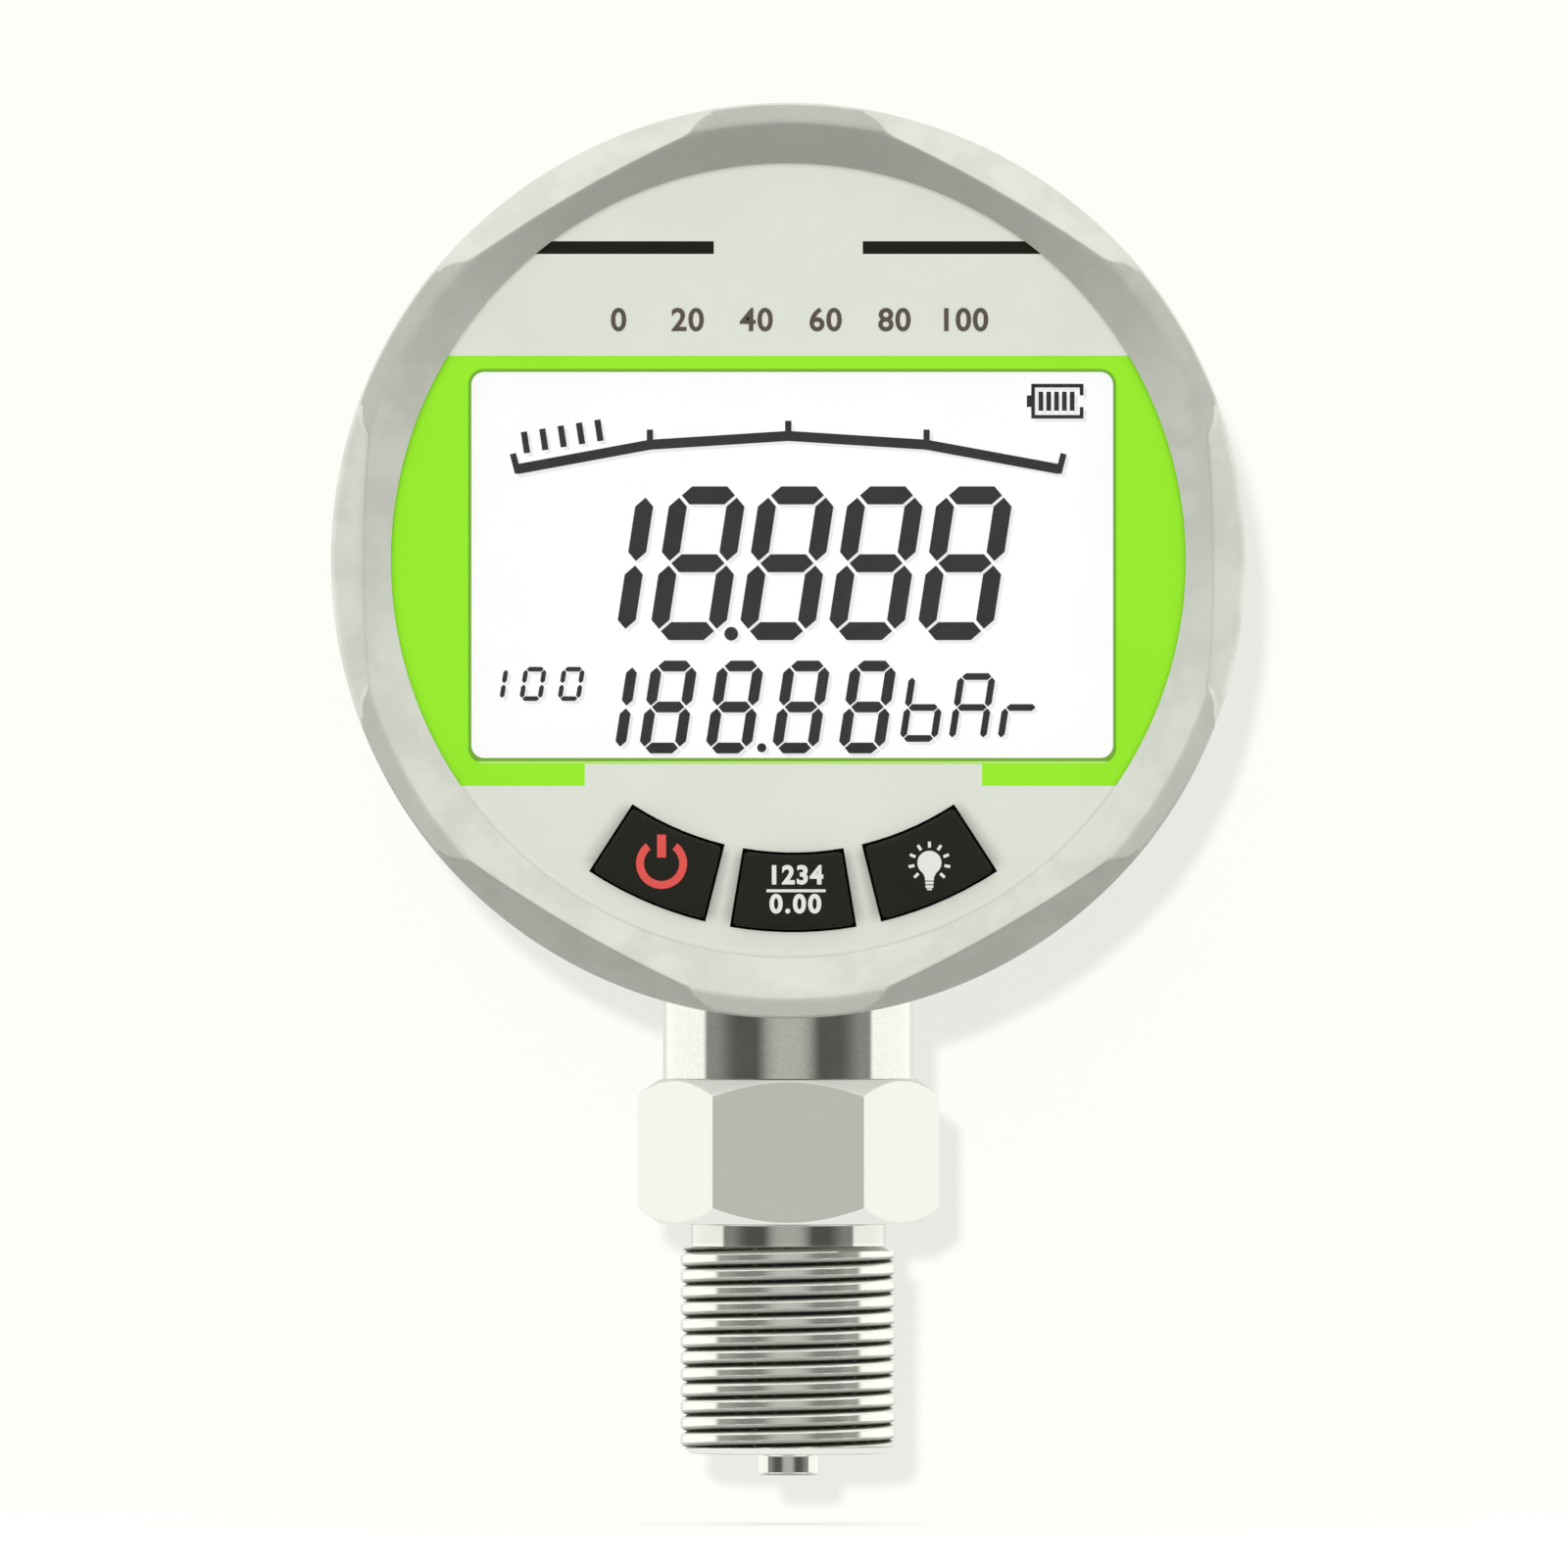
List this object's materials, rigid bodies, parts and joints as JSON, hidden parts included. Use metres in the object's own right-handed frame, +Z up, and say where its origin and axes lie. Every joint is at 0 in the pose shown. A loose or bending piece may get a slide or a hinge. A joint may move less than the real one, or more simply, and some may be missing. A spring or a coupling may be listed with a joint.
{
  "type": "digital pressure gauge",
  "caption": "Round digital pressure gauge with a display window, push keys, a faceted screwed bezel, a rear battery door and a hexagonal bottom stem with a male thread.",
  "frame": {"origin": "centre of the flat ring at the thread's lower end, which seals in the port", "axes": "+Z up the stem to the dial, -Y out of the dial's front, +X to the dial's right"},
  "size_m": [0.0836, 0.038, 0.1256],
  "materials": {
    "satin_steel": "blasted satin",
    "turned_steel": "turned, satin hexagon",
    "screw_steel": "bright",
    "seal_rubber": "matt",
    "pale_film": "fine matt print",
    "green_film": "fine matt print",
    "black_film": "fine matt print",
    "pale_plastic": "moulded",
    "clear_lens": "polished",
    "display_white": "white reflector behind glass",
    "display_ink": "printed",
    "white_plastic": "moulded",
    "board_green": "solder mask",
    "chip_black": "moulded",
    "capacitor_tan": "ceramic",
    "gold_metal": "plated",
    "key_black": "fine matt",
    "symbol_red": "printed",
    "symbol_white": "printed",
    "plunger_plastic": "moulded",
    "cover_black": "fine spark texture",
    "cell_sleeve": "printed sleeve",
    "flex_amber": "polyimide",
    "lead_red": "insulation"
  },
  "bodies": {
    "housing": {"bezel_ring": "satin_steel", "bezel_gasket": "seal_rubber", "front_film": "pale_film", "display_surround": "green_film", "accent_bars": "black_film", "front_panel": "pale_plastic", "window_lens": "clear_lens", "display_glass": "display_white", "display_segments": "display_ink", "display_frame": "white_plastic", "light_guide": "white_plastic", "backlight_leds": "white_plastic", "contact_strips": "seal_rubber", "main_board": "board_green", "board_screws": "screw_steel", "processor_chip": "chip_black", "converter_chip": "chip_black", "board_capacitors": "capacitor_tan", "switch_housings": "chip_black", "switch_domes": "gold_metal", "case_body": "satin_steel", "process_fitting": "turned_steel", "pressure_sensor": "turned_steel", "sensor_diaphragm": "turned_steel", "sensor_seal": "seal_rubber", "sensor_ring": "turned_steel", "sensor_board": "board_green", "sensor_pins": "gold_metal", "sensor_flex": "flex_amber", "sensor_plug": "white_plastic", "rear_cover": "cover_black", "cover_gasket": "seal_rubber", "cover_screws": "screw_steel", "upper_cell": "cell_sleeve", "lower_cell": "cell_sleeve", "contact_springs": "screw_steel", "contact_plates": "screw_steel", "battery_leads": "lead_red", "lead_plug": "white_plastic"},
    "power_button": {"power_key": "key_black", "power_symbol": "symbol_red", "power_plunger": "plunger_plastic"},
    "select_button": {"select_key": "key_black", "select_symbol": "symbol_white", "select_plunger": "plunger_plastic"},
    "light_button": {"light_key": "key_black", "light_symbol": "symbol_white", "light_plunger": "plunger_plastic"},
    "door": {"battery_door": "cover_black", "door_gasket": "seal_rubber", "door_screws": "screw_steel"}
  },
  "joints": [
    {"name": "power_press", "type": "slide", "parent": "housing", "child": "power_button", "axis": [0, 1, 0], "range_m": [0, 0.0005], "stiffness_N_per_m": 1500, "springref_m": -0.0005},
    {"name": "select_press", "type": "slide", "parent": "housing", "child": "select_button", "axis": [0, 1, 0], "range_m": [0, 0.0005], "stiffness_N_per_m": 1500, "springref_m": -0.0005},
    {"name": "light_press", "type": "slide", "parent": "housing", "child": "light_button", "axis": [0, 1, 0], "range_m": [0, 0.0005], "stiffness_N_per_m": 1500, "springref_m": -0.0005},
    {"name": "door_lift", "type": "slide", "parent": "housing", "child": "door", "axis": [0, 1, 0], "range_m": [0, 0.015]}
  ]
}
